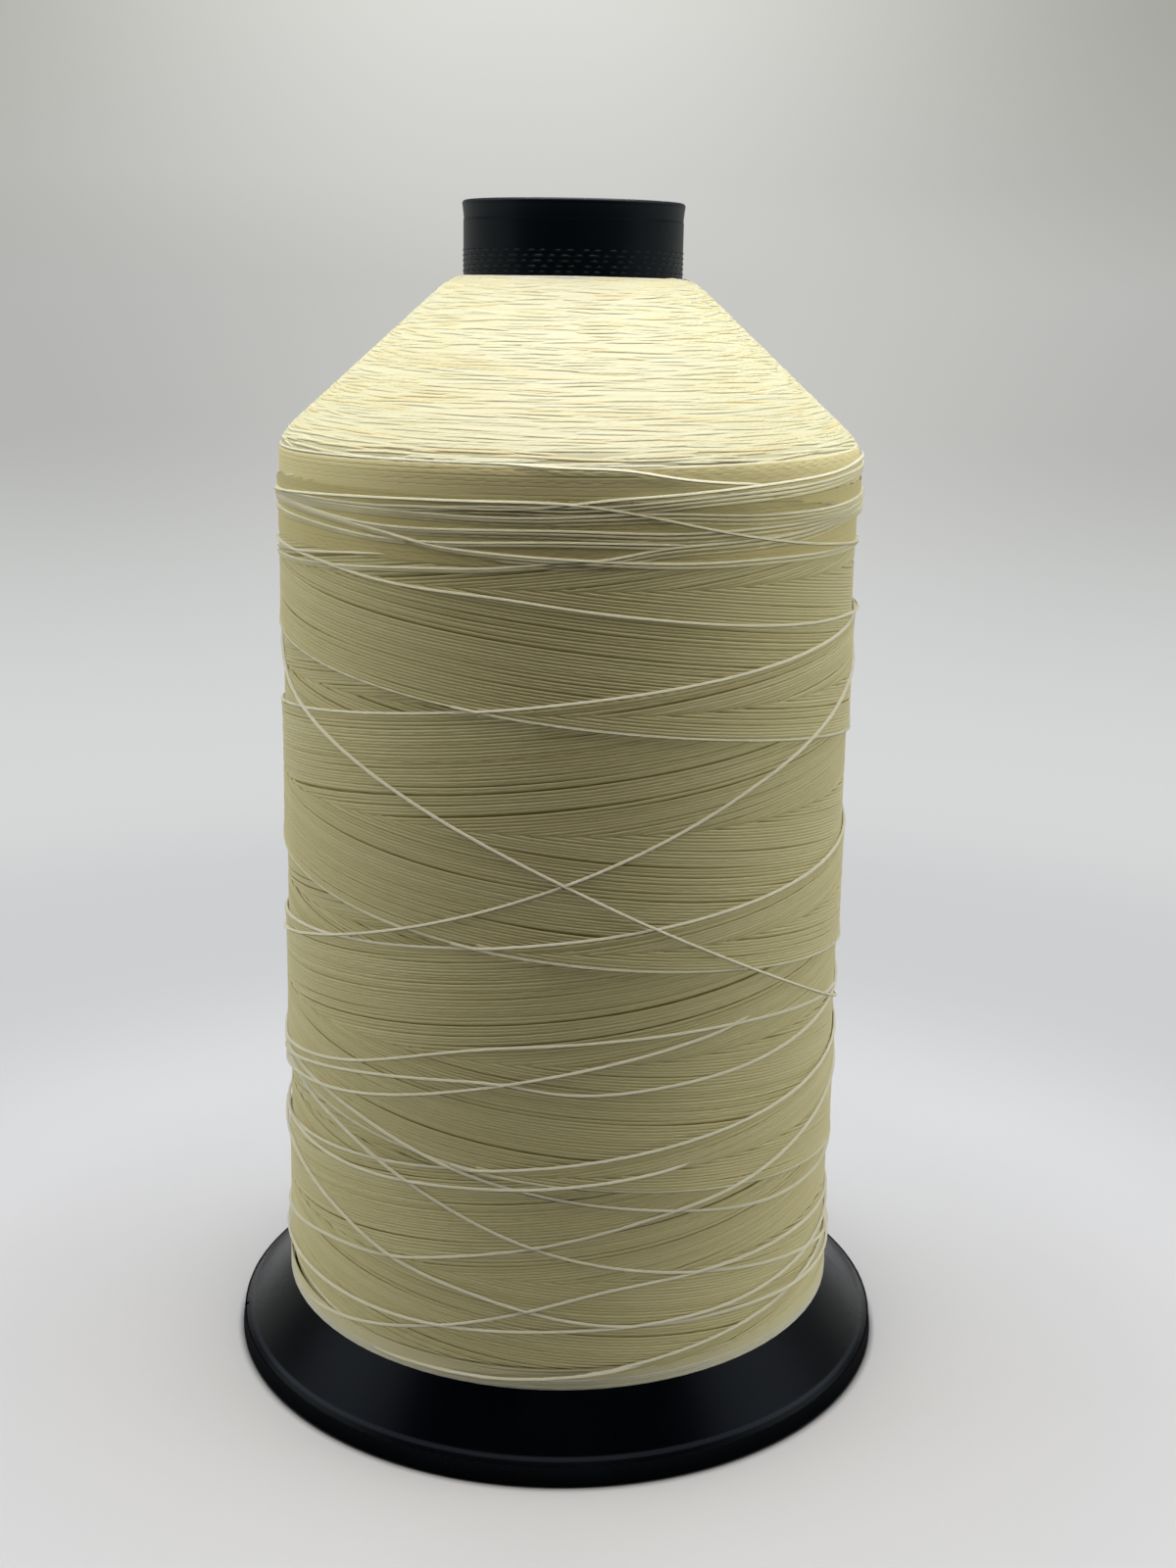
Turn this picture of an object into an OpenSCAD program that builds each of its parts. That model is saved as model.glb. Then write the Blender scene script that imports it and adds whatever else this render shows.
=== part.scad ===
// Spool of thread: a conical foot, a tube pressed into its hub, and a package of
// crosswound thread with a conical shoulder. Millimetres, +Z up, the foot's rim at z = 0.

/* [Foot] */
// Diameter of the foot across its rim
foot_d = 104.4; // [98:0.2:130]
// Height of the upright rim
rim_h = 3; // [2:0.1:5]
// How far the rim's top edge lies in from its foot, as draft
rim_draft = 0.3; // [0:0.05:0.6]
// Radius of the small round under the rim
rim_round = 0.5; // [0.2:0.1:0.8]
// Depth of the fine step between the rim and the bevel above it
step_depth = 0.25; // [0.1:0.05:0.5]
// Width of the bevel between the rim and the cone, measured inwards
bevel_w = 1; // [0.6:0.1:2.5]
// Slope of that bevel above the horizontal
bevel_angle = 40; // [25:1:60]
// Slope of the foot's cone above the horizontal
cone_angle = 46.7; // [40:0.1:52]
// Thickness of the skirt
skirt_wall = 2.2; // [1.6:0.1:3]
// Number of ribs under the skirt
rib_count = 6; // [3:1:8]
// Thickness of a rib
rib_t = 1.6; // [1:0.1:2.4]
// How far the ribs stop above the table
rib_recess = 2.5; // [1:0.1:4]
// Wall of the hub round the tube
hub_wall = 2; // [1.4:0.1:3]
// How far the hub stops above the table
hub_recess = 1; // [0.4:0.1:1.5]
// Thickness of the seat that the tube stands on
seat_t = 2.5; // [1.5:0.1:4]
// Height of the collar above the top of the cone
collar_h = 3; // [1:0.5:8]
// Radius of the round on the collar's top edge
collar_round = 0.6; // [0.2:0.1:0.6]
// Width of the notch in the rim that holds the thread's tail
notch_w = 0.8; // [0.5:0.1:1.5]
// Depth of that notch, measured inwards
notch_depth = 0.9; // [0.5:0.1:1.5]
// Where the notch is, round the foot, in degrees
notch_angle = 190; // [0:1:359]

/* [Tube] */
// Height of the whole spool
spool_h = 178; // [150:1:200]
// Outer diameter of the tube
tube_d = 32.2; // [28:0.1:36]
// Wall of the tube
tube_wall = 1.9; // [1.2:0.1:3]
// Radial clearance of the tube in the hub
hub_fit = 0.03; // [0.01:0.01:0.1]
// Height of the flared nose
nose_h = 2.6; // [1.5:0.1:5]
// How far the nose flares beyond the tube
nose_flare = 0.2; // [0.1:0.05:0.5]
// Depth of the waist just below the flare
nose_waist = 0.1; // [0.05:0.05:0.3]
// Chamfer at the ends of the tube
tube_chamfer = 0.4; // [0.2:0.1:0.6]
// Number of grip ridges
ridge_count = 12; // [4:1:16]
// Distance from one grip ridge to the next
ridge_pitch = 1; // [0.7:0.1:1.5]
// Height of a grip ridge
ridge_h = 0.12; // [0.05:0.01:0.3]
// Width of a grip ridge at its foot
ridge_w = 0.5; // [0.3:0.05:0.65]
// Width of a grip ridge at its flat top
ridge_top_w = 0.15; // [0.05:0.05:0.25]
// Distance of the first grip ridge below the top
ridge_drop = 6.5; // [6:0.5:12]

/* [Thread package] */
// Diameter of the plain package at the foot
pack_foot_d = 86.2; // [60:0.2:92]
// Diameter of the plain package at the shoulder
pack_head_d = 85.2; // [60:0.2:90]
// How far the package stops below the top of the tube
head_drop = 10; // [8:0.5:40]
// Slope of the conical shoulder above the horizontal
shoulder_angle = 42.2; // [30:0.1:55]
// Radius of the round between the body and the shoulder
shoulder_round = 5; // [2:0.5:10]
// Clearance between the thread and the plastic
pack_gap = 0.05; // [0.02:0.01:0.2]

/* [Outer layer] */
// Diameter of the thread
thread_d = 0.45; // [0.3:0.05:0.8]
// Passes up and down the body, an odd number
passes = 5; // [1:2:5]
// Whole turns in one pass, to which a sixth is added so that passes interlace
pass_turns = 3; // [1:1:3]
// Turns on the conical shoulder
shoulder_turns = 8; // [2:1:8]
// Distance of the lowest turn from the bottom edge of the package
foot_margin = 4; // [2:0.5:15]
// Distance of the highest reversal below the shoulder's round
head_margin = 3; // [1:0.5:15]
// Distance of the last turn from the tube
tube_margin = 1.6; // [1:0.1:4]
// Clearance between a turn and the package under it
lay_gap = 0.03; // [0.02:0.01:0.1]
// Clearance where one turn passes over another
pass_gap = 0.46; // [0.42:0.01:1]
// Where the outer layer starts, round the package, in degrees
start_angle = 75; // [0:1:359]

/* [Hidden] */
$fn = 120;

// Foot: radii and heights of its outer profile
foot_r = foot_d / 2;
rim_top_r = foot_r - rim_draft;
bevel_r = rim_top_r - step_depth;
cone_r = bevel_r - bevel_w;
cone_z = rim_h + bevel_w * tan(bevel_angle);
tube_r = tube_d / 2;
bore_r = tube_r - tube_wall;
socket_r = tube_r + hub_fit;
hub_r = socket_r + hub_wall;
cone_top_z = cone_z + (cone_r - hub_r) * tan(cone_angle);
collar_z = cone_top_z + collar_h;
seat_z = hub_recess + seat_t;
// Height of the skirt's underside below its top, measured straight down
skirt_drop = skirt_wall / cos(cone_angle);
lip_r = foot_r - skirt_wall;
// How far the ribs reach into the hub and the skirt, so that they are one moulding
sink = 0.6;
// Largest step between the points of a round in a profile, in degrees
arc_step = 10;

// Package: the plain form under the outer layer
pack_foot_r = pack_foot_d / 2;
pack_head_r = pack_head_d / 2;
core_r = tube_r + ridge_h + pack_gap;
collar_r = hub_r + pack_gap;
// Clearance over the cone, measured straight up
cone_lift = pack_gap / cos(cone_angle);
pack_foot_z = foot_cone_z(pack_foot_r) + cone_lift;
head_z = spool_h - head_drop;
shoulder_z = head_z - (pack_head_r - core_r) * tan(shoulder_angle);
round_turn = 90 - shoulder_angle;
round_len = shoulder_round * tan(round_turn / 2);
round_r = pack_head_r - shoulder_round;
round_z = shoulder_z - round_len;

// Outer layer
thread_r = thread_d / 2;
turns_per_pass = pass_turns + 1 / 6;
rings = 24;
sides = 6;
ring_step = 360 / rings;
half_step = ring_step / 2;
low_z = pack_foot_z + foot_margin;
high_z = round_z - head_margin;
body_rings = round(passes * turns_per_pass * rings);
cone_rings = shoulder_turns * rings;
last_ring = body_rings + cone_rings;
// Length along the profile of the stretches that the spiral climbs
climb_up = round_z - high_z;
climb_round = shoulder_round * round_turn * PI / 180;
climb_cone = (round_r + shoulder_round * cos(round_turn) - core_r - tube_margin) / cos(shoulder_angle);
climb = climb_up + climb_round + climb_cone;
// A chord between two rings dips by this factor, so the rings stand out by it
chord_lift = 1 / cos(half_step);
// From the lower layer of passes to the upper one, whose rings stand at the same angles
layer_step = thread_d + pass_gap;
// Angle on each side of a reversal over which its corner is rounded
turn_angle = 20;
// Angle on each side of a reversal over which the thread changes layer
layer_angle = 35;
turn_share = turn_angle / 360 / turns_per_pass;
layer_share = layer_angle / 360 / turns_per_pass;
// Stretches of thread farther apart than this, in height and in all, aren't measured
near_rise = 8;
near_reach = 16;
// Least value that a division trusts
tiny = 1e-9;

// Points of an arc about centre c, from one angle to another
function arc(c, r, from, to) =
    let(steps = ceil((to - from) / arc_step))
    [for (i = [0:steps]) let(t = from + (to - from) * i / steps) c + r * [cos(t), sin(t)]];

// Height of the foot's cone at radius r
function foot_cone_z(r) = cone_z + (cone_r - r) * tan(cone_angle);

// Radius of the plain package at height z on its body, from its foot to the round
function body_r(z) =
    pack_foot_r + (pack_head_r - pack_foot_r) * (z - pack_foot_z) / (round_z - pack_foot_z);

function unit(v) = v / norm(v);
function smooth(t) = let(c = max(0, min(1, t))) c * c * (3 - 2 * c);

// Height along the body, from 0 to 1, after w passes: a zigzag with rounded corners,
// whose two ends stay sharp
function zigzag(w) =
    let(
        corner = round(w),
        off = abs(w - corner),
        inner = corner > 0 && corner < passes,
        near = inner && off < turn_share ? (turn_share * turn_share + off * off) / (2 * turn_share) : off
    )
    corner % 2 == 0 ? near : 1 - near;

// Layer of the thread after w passes: 0 on the way up, 1 on the way down
function layer(w) =
    let(
        corner = round(w),
        inner = corner > 0 && corner < passes,
        t = smooth((w - corner + layer_share) / (2 * layer_share))
    )
    !inner ? 0 : corner % 2 == 0 ? 1 - t : t;

// Radius, height and slope of the normal at a place on the body or on the climb above it
function on_body(z) = [body_r(z), z, 0];
function on_climb(s) =
    s < climb_up ? on_body(high_z + s)
    : s < climb_up + climb_round ?
        let(turn = (s - climb_up) / shoulder_round * 180 / PI)
        [round_r + shoulder_round * cos(turn), round_z + shoulder_round * sin(turn), turn]
    : let(m = s - climb_up - climb_round)
        [
            round_r + shoulder_round * cos(round_turn) - m * cos(shoulder_angle),
            round_z + shoulder_round * sin(round_turn) + m * sin(shoulder_angle),
            round_turn
        ];

// A point that stands off the package by lift, at angle a round it
function stand_off(place, lift, a) =
    let(r = (place[0] + lift * cos(place[2])) * chord_lift)
    [r * cos(a), r * sin(a), place[1] + lift * sin(place[2])];

// The direction up the profile at that place
function up_slope(place, a) =
    [-sin(place[2]) * cos(a), -sin(place[2]) * sin(a), cos(place[2])];

function place_at(i) =
    i <= body_rings ?
        on_body(low_z + (high_z - low_z) * zigzag(i / rings / turns_per_pass))
    : on_climb(climb * (i - body_rings) / cone_rings);
function lift_at(i) =
    i == 0 || i == last_ring ? lay_gap + thread_d
    : i <= body_rings ? lay_gap + thread_r + layer_step * layer(i / rings / turns_per_pass)
    : lay_gap + thread_r;
function angle_at(i) = start_angle + i * ring_step;

// Outward normal of the package at a place, at angle a round it
function normal_at(place, a) =
    [cos(place[2]) * cos(a), cos(place[2]) * sin(a), sin(place[2])];

// Where an end of the thread meets the package, straight in under the tip of that end
function end_point(i) =
    let(
        place = place_at(i),
        out = normal_at(place, angle_at(i)),
        tip = stand_off(place, lift_at(i), angle_at(i)),
        bed = [place[0] * cos(angle_at(i)), place[0] * sin(angle_at(i)), place[1]]
    )
    tip - out * (out * (tip - bed) - lay_gap);

// Shortest distance between two straight stretches
function stretch_gap(a, b, c, d) =
    let(
        ab = b - a,
        cd = d - c,
        ca = a - c,
        aa = ab * ab,
        cc = cd * cd,
        ac = ab * cd,
        den = aa * cc - ac * ac,
        s0 = den > tiny ? max(0, min(1, (ac * (cd * ca) - (ab * ca) * cc) / den)) : 0,
        t = max(0, min(1, (ac * s0 + cd * ca) / cc)),
        s = max(0, min(1, (ac * t - ab * ca) / aa))
    )
    norm(ca + ab * s - cd * t);

// Least gap of a tube to itself, over every pair of stretches at least half a turn apart
function least_gap(path) =
    let(last = len(path) - 2)
    min([
        for (i = [0:last])
            for (j = [i + rings / 2:1:last])
                if (abs(path[i][2] - path[j][2]) < near_rise && norm(path[i] - path[j]) < near_reach)
                    stretch_gap(path[i], path[i + 1], path[j], path[j + 1])
    ]) - thread_d;

// A tube of six sides along a path. Its rings lie in the mitre planes, and side is, for
// each ring, a direction across the path that the first corner of the ring points to.
module tube(path, side, r) {
    last = len(path) - 1;
    dirs = [for (i = [0:last - 1]) unit(path[i + 1] - path[i])];
    points = [
        for (i = [0:last])
            let(
                from = dirs[max(i - 1, 0)],
                mitre = unit(from + dirs[min(i, last - 1)]),
                across = unit(side[i] - (side[i] * from) * from),
                up = cross(from, across)
            )
            for (k = [0:sides - 1])
                let(spoke = r * (cos(360 * k / sides) * across + sin(360 * k / sides) * up))
                path[i] + spoke - from * ((spoke * mitre) / (from * mitre))
    ];
    walls = [
        for (i = [0:last - 1])
            for (k = [0:sides - 1])
                let(p = i * sides + k, q = i * sides + (k + 1) % sides)
                each [[p, p + sides, q + sides], [p, q + sides, q]]
    ];
    caps = [
        for (k = [1:sides - 2])
            each [[0, k, k + 1], [last * sides, last * sides + k + 1, last * sides + k]]
    ];
    polyhedron(points, concat(walls, caps), convexity = 20);
}

module foot_profile() {
    polygon([
        each arc([foot_r - rim_round, rim_round], rim_round, -90, 0),
        [rim_top_r, rim_h],
        [bevel_r, rim_h],
        [cone_r, cone_z],
        [hub_r, cone_top_z],
        each arc([hub_r - collar_round, collar_z - collar_round], collar_round, 0, 90),
        [socket_r, collar_z],
        [socket_r, seat_z],
        [bore_r, seat_z],
        [bore_r, hub_recess],
        [hub_r, hub_recess],
        [hub_r, foot_cone_z(hub_r) - skirt_drop],
        [lip_r, foot_cone_z(lip_r) - skirt_drop],
        [lip_r, 0]
    ]);
}

// One rib, in the plane of radius and height, sunk a little into the hub and the skirt
module rib() {
    skirt_r = lip_r + sink / 2;
    rotate([90, 0, 0])
        linear_extrude(rib_t, center = true)
            polygon([
                [hub_r - sink, rib_recess],
                [skirt_r, rib_recess],
                [skirt_r, max(rib_recess + sink, foot_cone_z(skirt_r) - skirt_drop + sink)],
                [hub_r - sink, foot_cone_z(hub_r - sink) - skirt_drop + sink]
            ]);
}

// The foot: rim, bevel, conical skirt, hub with its seat and collar, and the ribs between
module base_flange() {
    color("#17181b")
        difference() {
            union() {
                rotate_extrude()
                    foot_profile();
                for (i = [0:rib_count - 1])
                    rotate(i * 360 / rib_count + 180 / rib_count)
                        rib();
            }
            rotate(notch_angle)
                translate([foot_r - notch_depth, -notch_w / 2, rim_h / 2])
                    cube([foot_r, notch_w, cone_z]);
        }
}

module tube_profile() {
    ridge_z = spool_h - ridge_drop;
    ridge_side = (ridge_w - ridge_top_w) / 2;
    polygon([
        [bore_r, seat_z],
        [tube_r - tube_chamfer, seat_z],
        [tube_r, seat_z + tube_chamfer],
        for (i = [ridge_count - 1:-1:0])
            each [
                [tube_r, ridge_z - i * ridge_pitch - ridge_w],
                [tube_r + ridge_h, ridge_z - i * ridge_pitch - ridge_w + ridge_side],
                [tube_r + ridge_h, ridge_z - i * ridge_pitch - ridge_side],
                [tube_r, ridge_z - i * ridge_pitch]
            ],
        [tube_r, spool_h - nose_h],
        [tube_r - nose_waist, spool_h - nose_h],
        [tube_r + nose_flare - nose_waist, spool_h - tube_chamfer],
        [tube_r + nose_flare - nose_waist - tube_chamfer, spool_h],
        [bore_r + tube_chamfer, spool_h],
        [bore_r, spool_h - tube_chamfer]
    ]);
}

// The tube, with its flared nose and the ridges that grip the first turns
module barrel() {
    color("#1c1d20")
        rotate_extrude()
            tube_profile();
}

module package_profile() {
    polygon([
        [core_r, collar_z + pack_gap],
        [collar_r, collar_z + pack_gap],
        [collar_r, foot_cone_z(collar_r) + cone_lift],
        [pack_foot_r, pack_foot_z],
        each arc([round_r, round_z], shoulder_round, 0, round_turn),
        [core_r, head_z]
    ]);
}

// The inner layers of the thread, wound on the tube and on the foot's cone
module thread_core() {
    color("#cfc99a")
        rotate_extrude()
            package_profile();
}

// The outer layer of the thread, one length from the foot to the top of the shoulder
module thread_winding() {
    run = [for (i = [0:last_ring]) stand_off(place_at(i), lift_at(i), angle_at(i))];
    path = concat([end_point(0)], run, [end_point(last_ring)]);
    slope = [for (i = [0:last_ring]) up_slope(place_at(i), angle_at(i))];
    side = concat([slope[0]], slope, [slope[last_ring]]);
    echo(str("thread_winding: ", last_ring / rings, " loops, least gap to itself ",
        least_gap(path), " mm"));
    color("#d9d4ab")
        tube(path, side, thread_r);
}

base_flange();
barrel();
thread_core();
thread_winding();
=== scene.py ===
"""Looks of a spool of thread: a moulded foot and tube, and a crosswound package of thread.

Lengths are in millimetres and angles in degrees until a mesh is made. An azimuth is measured
from the front (-Y) and grows towards +X, so a point is (r sin, -r cos, z).
"""

import bpy
import numpy as np
from mathutils import Matrix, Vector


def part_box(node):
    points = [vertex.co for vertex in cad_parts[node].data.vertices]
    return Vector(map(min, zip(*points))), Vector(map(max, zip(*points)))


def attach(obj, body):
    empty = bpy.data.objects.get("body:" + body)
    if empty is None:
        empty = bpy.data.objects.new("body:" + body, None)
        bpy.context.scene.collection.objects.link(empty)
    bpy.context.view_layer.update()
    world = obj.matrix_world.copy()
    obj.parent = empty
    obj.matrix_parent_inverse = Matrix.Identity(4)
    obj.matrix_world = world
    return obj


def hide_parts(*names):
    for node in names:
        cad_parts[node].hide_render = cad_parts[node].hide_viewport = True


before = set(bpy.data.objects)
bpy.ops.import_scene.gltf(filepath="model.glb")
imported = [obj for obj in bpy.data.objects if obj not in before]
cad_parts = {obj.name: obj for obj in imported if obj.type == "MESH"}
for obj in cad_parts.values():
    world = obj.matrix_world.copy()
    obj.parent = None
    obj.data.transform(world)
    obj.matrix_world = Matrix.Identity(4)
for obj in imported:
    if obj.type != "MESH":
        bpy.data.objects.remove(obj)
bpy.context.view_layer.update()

MM = 0.001

# ---------------------------------------------------------------- sizes, in millimetres
THREAD_D = 0.45
THREAD_SIDES = 6
# Half the width and half the height of a turn, which the tension has pressed flat
BODY_SECTION = (0.265, 0.17)
LEVEL_SECTION = (0.3, 0.08)
SHOULDER_SECTION = (0.29, 0.115)
LOOSE_SECTION = (0.28, 0.14)
# Rise over run of the way that a loose turn's flat side faces: it lies a little on its side,
# and so do the turns beside it in a bundle and those on the edge of the shoulder
LOOSE_LEAN = 1.2
BESIDE_LEAN = 0.8
EDGE_LEAN = 0.9

core_low, core_high = (np.array(corner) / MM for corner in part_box("thread_core"))
tube_low, tube_high = (np.array(corner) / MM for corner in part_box("barrel"))

# The plain package under the outer turns, as the part has it, and how much narrower its
# head is than its foot
PACK_FOOT_R = core_high[0]
PACK_FOOT_Z = core_low[2]
PACK_TAPER = 0.5
PACK_HEAD_R = PACK_FOOT_R - PACK_TAPER
HEAD_Z = core_high[2]
SHOULDER_SLOPE = np.radians(42.2)
SHOULDER_ROUND = 5.0
# The package was built a little skew, so that its upper edge sways by this much
EDGE_SWAY = 0.6
TUBE_R = 16.1
TUBE_WALL = 1.9
# Rise over run of the foot's cone, which the package stands on
FOOT_SLOPE = np.tan(np.radians(46.7))
SHOULDER_Z = HEAD_Z - (PACK_HEAD_R - TUBE_R) * np.tan(SHOULDER_SLOPE)

# The crosswound outer layer: its pitch, the number of strands in it, and one place where
# the newest rising and the newest falling turn cross
PITCH = 33.3
STRANDS = 70
LINE_Z = 111.0
LINE_AZIMUTH = -17.0
# Height of the oldest turns' centres over the plain package, and what each layer adds
BODY_LIFT = 0.18
LAYER = 0.42
# How far the newest turns stand proud, and over how many turns that dies away
PROUD = 0.22
PROUD_TURNS = 4.0
BODY_TOP_Z = 142.0
BODY_LOW_Z = 11.4
# What a turn takes, in turns, to come up from below, and how far its end runs on under others
RISE = 4.5 / 360
OVERRUN = 4.0 / 360
# At the ends of the body the turns dive this deep over this length, which begins that far
# inside the upper and the lower end
DIVE_DEPTH = 0.7
DIVE_LENGTH = 2.0
TOP_DIVE = 3.0
LOW_DIVE = 2.4

rng = np.random.default_rng(11)


# ---------------------------------------------------------------- colours and nodes
def colour(hex_code):
    """Linear RGBA of an sRGB hex colour: each channel is undone from the sRGB curve."""
    raw = np.array([int(hex_code[i:i + 2], 16) for i in (1, 3, 5)]) / 255
    linear = np.where(raw <= 0.04045, raw / 12.92, ((raw + 0.055) / 1.055) ** 2.4)
    return (*linear.tolist(), 1.0)


# Settings that many nodes share
COLOUR_MIX = {"data_type": "RGBA"}
SMOOTHSTEP = {"interpolation_type": "SMOOTHSTEP"}
MULTIPLY = {"operation": "MULTIPLY"}
MULTIPLY_ADD = {"operation": "MULTIPLY_ADD"}
ABSOLUTE = {"operation": "ABSOLUTE"}
MAXIMUM = {"operation": "MAXIMUM"}
NORMALIZE = {"operation": "NORMALIZE"}


def add_node(tree, kind, settings=None, values=None, links=None):
    """Adds a shader node of a kind, sets its properties and socket values, and links its
    inputs, by their names or numbers."""
    node = tree.nodes.new("ShaderNode" + kind)
    for key, value in (settings or {}).items():
        setattr(node, key, value)
    for key, value in (values or {}).items():
        node.inputs[key].default_value = value
    for key, source in (links or {}).items():
        tree.links.new(source, node.inputs[key])
    return node


def new_material(name):
    """An empty node material with its output node."""
    material = bpy.data.materials.new(name)
    material.use_nodes = True
    material.node_tree.nodes.clear()
    return material, add_node(material.node_tree, "OutputMaterial")


# ---------------------------------------------------------------- meshes
def unit(v):
    """Vectors brought to a length of one: each over its own length."""
    return v / np.linalg.norm(v, axis=-1, keepdims=True)


def smooth(t):
    """An even step from 0 to 1 while t goes from 0 to 1: 3 t^2 - 2 t^3."""
    c = np.clip(t, 0, 1)
    return c * c * (3 - 2 * c)


def on_axis(radius, azimuth, height):
    """Points at a radius, azimuth and height about the spool's axis."""
    a = np.radians(azimuth)
    return np.stack([radius * np.sin(a), -radius * np.cos(a), height + 0 * a], -1)


def outward(azimuth, tilt=0.0):
    """Unit vectors that point away from the axis, tilted up by an angle in radians."""
    a = np.radians(azimuth)
    level = np.cos(tilt) + 0 * a
    return np.stack([level * np.sin(a), -level * np.cos(a), np.sin(tilt) + 0 * a], -1)


def new_piece(name, points, quads, tris, maps, marks, material, nodes):
    """A mesh object from whole arrays: points, four- and three-sided faces, UV maps per
    corner and marks, which are numbers or vectors per point. It rides on the root and
    stands for the named nodes."""
    corners = np.concatenate([quads.ravel(), tris.ravel()])
    starts = np.concatenate([np.arange(len(quads)) * 4, quads.size + np.arange(len(tris)) * 3])
    mesh = bpy.data.meshes.new(name)
    mesh.vertices.add(len(points))
    mesh.vertices.foreach_set("co", (points * MM).astype(np.float32).ravel())
    mesh.loops.add(len(corners))
    mesh.loops.foreach_set("vertex_index", corners.astype(np.int32))
    mesh.polygons.add(len(starts))
    mesh.polygons.foreach_set("loop_start", starts.astype(np.int32))
    mesh.update(calc_edges=True)
    mesh.shade_smooth()

    for map_name, places in maps.items():
        layer = mesh.uv_layers.new(name=map_name)
        layer.data.foreach_set("uv", places.astype(np.float32).ravel())
    for mark_name, values in marks.items():
        kind, key = ("FLOAT", "value") if values.ndim == 1 else ("FLOAT_VECTOR", "vector")
        attribute = mesh.attributes.new(mark_name, kind, "POINT")
        attribute.data.foreach_set(key, values.astype(np.float32).ravel())
    mesh.materials.append(material)
    piece = bpy.data.objects.new(name, mesh)
    bpy.context.scene.collection.objects.link(piece)
    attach(piece, "root")
    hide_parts(*nodes)
    return piece


def leant(out, rise):
    """The ways out, leant up by a rise over run."""
    return unit(out + np.array([0, 0, rise]))


def turns(path, out, tint, section, lit=None):
    """A group of tubes with as many rings each: path, out and lit are (strands, rings, 3).
    out is the way that the flat side looks, and lit the way from which it takes its light,
    where that differs."""
    lit = out if lit is None else lit
    return {"path": path, "out": out, "lit": lit, "tint": tint, "section": section}


def tube_arrays(group, row, rows):
    """The tubes of a group at once. A ring lies in the plane across its path, and its corner
    k stands at out turned by k sixths of a turn about the path, on an ellipse. Each end is
    closed by a fan to the path's own end point. The map thread_lay holds millimetres along
    the thread and the share of a turn round it, and OFBake gives each tube a row of its own,
    with a margin at its ends and beside it."""
    path, out, (wide, tall) = group["path"], group["out"], group["section"]
    strands, rings, _ = path.shape
    along = unit(np.gradient(path, axis=1))
    side = unit(np.cross(along, out))
    up = np.cross(side, along)
    turn = np.arange(THREAD_SIDES) * 2 * np.pi / THREAD_SIDES
    level, across = tall * np.cos(turn)[:, None], wide * np.sin(turn)[:, None]
    spoke = up[:, :, None] * level + side[:, :, None] * across
    wall = (path[:, :, None] + spoke).reshape(strands, rings * THREAD_SIDES, 3)
    points = np.concatenate([wall, path[:, :1], path[:, -1:]], 1)
    lit = np.broadcast_to(group["lit"], path.shape)
    facing = np.concatenate([np.repeat(lit, THREAD_SIDES, 1), lit[:, :1], lit[:, -1:]], 1)
    size = points.shape[1]

    s, m, k = np.meshgrid(
        np.arange(strands), np.arange(rings - 1), np.arange(THREAD_SIDES), indexing="ij")
    corner_m = np.stack([m, m, m + 1, m + 1], -1)
    corner_k = np.stack([k, k + 1, k + 1, k], -1)
    quads = s[..., None] * size + corner_m * THREAD_SIDES + corner_k % THREAD_SIDES
    s, k = np.meshgrid(np.arange(strands), np.arange(THREAD_SIDES), indexing="ij")
    near, far = s * size, s * size + (rings - 1) * THREAD_SIDES
    after = (k + 1) % THREAD_SIDES
    pole = s * size + rings * THREAD_SIDES
    caps = np.stack([
        np.stack([pole, near + after, near + k], -1),
        np.stack([pole + 1, far + k, far + after], -1)], 2)

    step = np.linalg.norm(np.diff(path, axis=1), axis=-1)
    length = np.concatenate([np.zeros((strands, 1)), np.cumsum(step, 1)], 1)
    lay = np.stack([
        length[np.arange(strands)[:, None, None, None], corner_m],
        corner_k / THREAD_SIDES], -1)
    band = (row + np.arange(strands))[:, None, None, None]
    end, beside = 0.001, 0.1
    bake = np.stack([
        corner_m / (rings - 1) * (1 - 2 * end) + end,
        (band + beside + (1 - 2 * beside) * corner_k / THREAD_SIDES) / rows], -1)
    cap_lay = np.zeros((strands, THREAD_SIDES, 2, 3, 2))
    cap_bake = np.zeros((strands, THREAD_SIDES, 2, 3, 2))
    cap_bake[:, :, 0, :, 0] = end
    cap_bake[:, :, 1, :, 0] = 1 - end
    cap_bake[..., 1] = (band + 0.5) / rows
    return {
        "points": points.reshape(-1, 3),
        "facing": facing.reshape(-1, 3),
        "tint": np.repeat(group["tint"], size),
        "quads": quads.reshape(-1, 4),
        "tris": caps.reshape(-1, 3),
        "lay": (lay.reshape(-1, 2), cap_lay.reshape(-1, 2)),
        "bake": (bake.reshape(-1, 2), cap_bake.reshape(-1, 2)),
    }


def wound_piece(name, groups, material):
    """One piece of thread from groups of tubes; it stands for the outer turns of the part.
    Light goes through the outermost turns of this thread, so that they leave no dark shadow
    on each other; the package under them does."""
    rows = sum(len(group["path"]) for group in groups)
    row, first, parts = 0, 0, []
    for group in groups:
        part = tube_arrays(group, row, rows)
        part["quads"] += first
        part["tris"] += first
        first += len(part["points"])
        row += len(group["path"])
        parts.append(part)
    points, quads, tris, facing, tint = (
        np.concatenate([part[key] for part in parts])
        for key in ("points", "quads", "tris", "facing", "tint"))
    maps = {
        map_name: np.concatenate([p[key][0] for p in parts] + [p[key][1] for p in parts])
        for map_name, key in (("thread_lay", "lay"), ("OFBake", "bake"))}
    marks = {"facing": facing, "tint": tint}
    piece = new_piece(
        name, points, quads, tris, maps, marks, material, ["thread_winding"])
    piece.visible_shadow = False


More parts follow.
